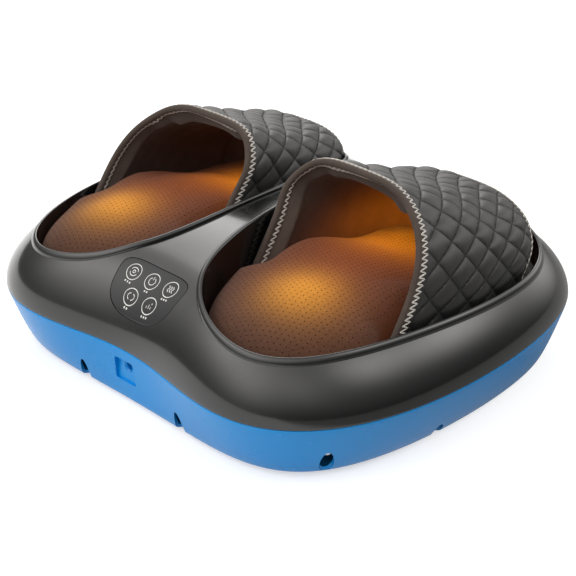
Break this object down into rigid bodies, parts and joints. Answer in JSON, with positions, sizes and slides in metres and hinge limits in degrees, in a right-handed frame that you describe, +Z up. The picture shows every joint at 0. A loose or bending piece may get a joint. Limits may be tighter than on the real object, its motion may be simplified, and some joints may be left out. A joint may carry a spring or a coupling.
{
  "type": "foot massager",
  "caption": "Low kidney-shaped case with padded foot wells over geared kneading heads, quilted toe arches with airbags and a sloping touch panel.",
  "frame": {"origin": "on the floor, under the middle of the case's bounding box", "axes": "+Z up, +Y towards the toes, +X towards the right foot's outer side"},
  "size_m": [0.3988, 0.3312, 0.1623],
  "materials": {
    "base_plastic": "moulded blue, glossy",
    "top_gloss": "moulded near-black, high gloss",
    "pad_fabric": "perforated knit over foam",
    "quilted_leather": "quilted imitation leather",
    "airbag_film": "soft airbag film",
    "lining": "brushed microfibre",
    "panel": "printed touch overlay, satin",
    "circuit": "circuit board",
    "head_plastic": "moulded satin",
    "gear_plastic": "natural acetal",
    "steel": "turned steel",
    "bush_brass": "sintered bush",
    "inner_plastic": "moulded satin",
    "air_plastic": "moulded white",
    "hose": "soft hose",
    "foot_rubber": "moulded rubber"
  },
  "bodies": {
    "case": {"base_shell": "base_plastic", "top_shell": "top_gloss", "rim_ring_right": "top_gloss", "rim_ring_left": "top_gloss", "foot_pad_right": "pad_fabric", "foot_pad_left": "pad_fabric", "toe_cover_right": "quilted_leather", "toe_cover_left": "quilted_leather", "toe_airbag_right": "airbag_film", "toe_airbag_left": "airbag_film", "toe_lining_right": "lining", "toe_lining_left": "lining", "control_panel": "panel", "touch_film": "circuit", "main_board": "circuit", "heat_board_right": "circuit", "heat_board_left": "circuit", "head_shaft_heel_right": "steel", "head_shaft_heel_left": "steel", "head_bush_heel_right": "bush_brass", "head_bush_heel_left": "bush_brass", "head_shaft_toe_right": "steel", "head_shaft_toe_left": "steel", "head_bush_toe_right": "bush_brass", "head_bush_toe_left": "bush_brass", "drive_motor_right": "steel", "drive_motor_left": "steel", "gear_plate_right": "inner_plastic", "gear_plate_left": "inner_plastic", "dc_jack": "inner_plastic", "air_pump": "air_plastic", "air_valve": "air_plastic", "air_hose_right": "hose", "air_hose_left": "hose", "feed_hose": "hose", "case_screw_1": "steel", "case_screw_2": "steel", "case_screw_3": "steel", "case_screw_4": "steel", "case_screw_5": "steel", "case_screw_6": "steel", "case_screw_7": "steel", "case_screw_8": "steel", "rubber_foot_1": "foot_rubber", "rubber_foot_2": "foot_rubber", "rubber_foot_3": "foot_rubber", "rubber_foot_4": "foot_rubber"},
    "heel_head_right": {"massage_head_heel_right": "head_plastic", "head_gear_heel_right": "gear_plastic"},
    "toe_head_right": {"massage_head_toe_right": "head_plastic", "head_gear_toe_right": "gear_plastic"},
    "pinion_right": {"drive_pinion_right": "gear_plastic"},
    "heel_head_left": {"massage_head_heel_left": "head_plastic", "head_gear_heel_left": "gear_plastic"},
    "toe_head_left": {"massage_head_toe_left": "head_plastic", "head_gear_toe_left": "gear_plastic"},
    "pinion_left": {"drive_pinion_left": "gear_plastic"}
  },
  "joints": [
    {"name": "heel_head_turn_right", "type": "hinge", "parent": "case", "child": "heel_head_right", "pos_m": [0.097, -0.086, 0.06], "axis": [0, 0, 1], "continuous": true},
    {"name": "toe_head_turn_right", "type": "hinge", "parent": "case", "child": "toe_head_right", "pos_m": [0.097, 0.021, 0.06], "axis": [0, 0, 1], "continuous": true},
    {"name": "pinion_turn_right", "type": "hinge", "parent": "case", "child": "pinion_right", "pos_m": [0.097, -0.0325, 0.057], "axis": [0, 0, 1], "continuous": true},
    {"name": "heel_head_turn_left", "type": "hinge", "parent": "case", "child": "heel_head_left", "pos_m": [-0.097, -0.086, 0.06], "axis": [0, 0, 1], "continuous": true},
    {"name": "toe_head_turn_left", "type": "hinge", "parent": "case", "child": "toe_head_left", "pos_m": [-0.097, 0.021, 0.06], "axis": [0, 0, 1], "continuous": true},
    {"name": "pinion_turn_left", "type": "hinge", "parent": "case", "child": "pinion_left", "pos_m": [-0.097, -0.0325, 0.057], "axis": [0, 0, 1], "continuous": true}
  ],
  "couplings": [
    {"joint": "toe_head_turn_right", "follows": "heel_head_turn_right", "ratio": 1},
    {"joint": "pinion_turn_right", "follows": "heel_head_turn_right", "ratio": -2.1818},
    {"joint": "toe_head_turn_left", "follows": "heel_head_turn_left", "ratio": 1},
    {"joint": "pinion_turn_left", "follows": "heel_head_turn_left", "ratio": -2.1818}
  ]
}
